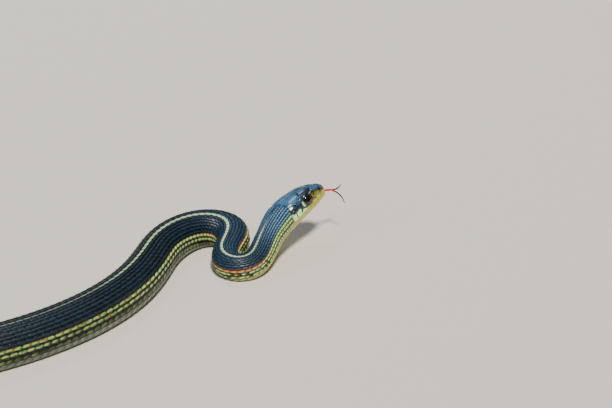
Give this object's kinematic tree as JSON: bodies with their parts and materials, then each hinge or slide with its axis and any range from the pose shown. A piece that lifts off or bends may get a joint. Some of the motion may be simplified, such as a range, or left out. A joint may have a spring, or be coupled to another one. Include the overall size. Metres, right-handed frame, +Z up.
{
  "type": "garter snake model",
  "caption": "Life-size still model of a slender garter snake, head raised, tongue out, neck in a tight S, body in flat bends on the floor.",
  "frame": {"origin": "middle of the footprint, at the level of the floor the belly lies on", "axes": "+Z up, +X along the longest extent towards the head, +Y away from the camera of the picture"},
  "size_m": [0.4568, 0.1268, 0.0241],
  "materials": {
    "head": "glossy slate-blue head shields with pale mint lip scales",
    "lower_jaw": "smooth yellow-cream chin and lip scales",
    "eye_left": "wet, dark, black pupil in a red-brown iris",
    "eye_right": "wet, dark, black pupil in a red-brown iris",
    "tongue": "wet red stem with black tips",
    "neck": "keeled blue-black scales with a cream back stripe and pale green side stripes",
    "body_01": "keeled blue-black scales with a cream back stripe and pale green side stripes",
    "body_02": "keeled blue-black scales with a cream back stripe and pale green side stripes",
    "body_03": "keeled blue-black scales with a cream back stripe and pale green side stripes",
    "body_04": "keeled blue-black scales with a cream back stripe and pale green side stripes",
    "body_05": "keeled blue-black scales with a cream back stripe and pale green side stripes",
    "body_06": "keeled blue-black scales with a cream back stripe and pale green side stripes",
    "body_07": "keeled blue-black scales with a cream back stripe and pale green side stripes",
    "body_08": "keeled blue-black scales with a cream back stripe and pale green side stripes",
    "body_09": "keeled blue-black scales with a cream back stripe and pale green side stripes",
    "body_10": "keeled blue-black scales with a cream back stripe and pale green side stripes",
    "body_11": "keeled blue-black scales with a cream back stripe and pale green side stripes",
    "body_12": "keeled blue-black scales with a cream back stripe and pale green side stripes",
    "body_13": "keeled blue-black scales with a cream back stripe and pale green side stripes",
    "tail_1": "keeled blue-black scales with a cream back stripe and pale green side stripes",
    "tail_2": "keeled blue-black scales with a cream back stripe and pale green side stripes",
    "tail_3": "keeled blue-black scales with a cream back stripe and pale green side stripes"
  },
  "bodies": {
    "root": {"head": "head", "lower_jaw": "lower_jaw", "eye_left": "eye_left", "eye_right": "eye_right", "tongue": "tongue", "neck": "neck", "body_01": "body_01", "body_02": "body_02", "body_03": "body_03", "body_04": "body_04", "body_05": "body_05", "body_06": "body_06", "body_07": "body_07", "body_08": "body_08", "body_09": "body_09", "body_10": "body_10", "body_11": "body_11", "body_12": "body_12", "body_13": "body_13", "tail_1": "tail_1", "tail_2": "tail_2", "tail_3": "tail_3"}
  },
  "joints": []
}
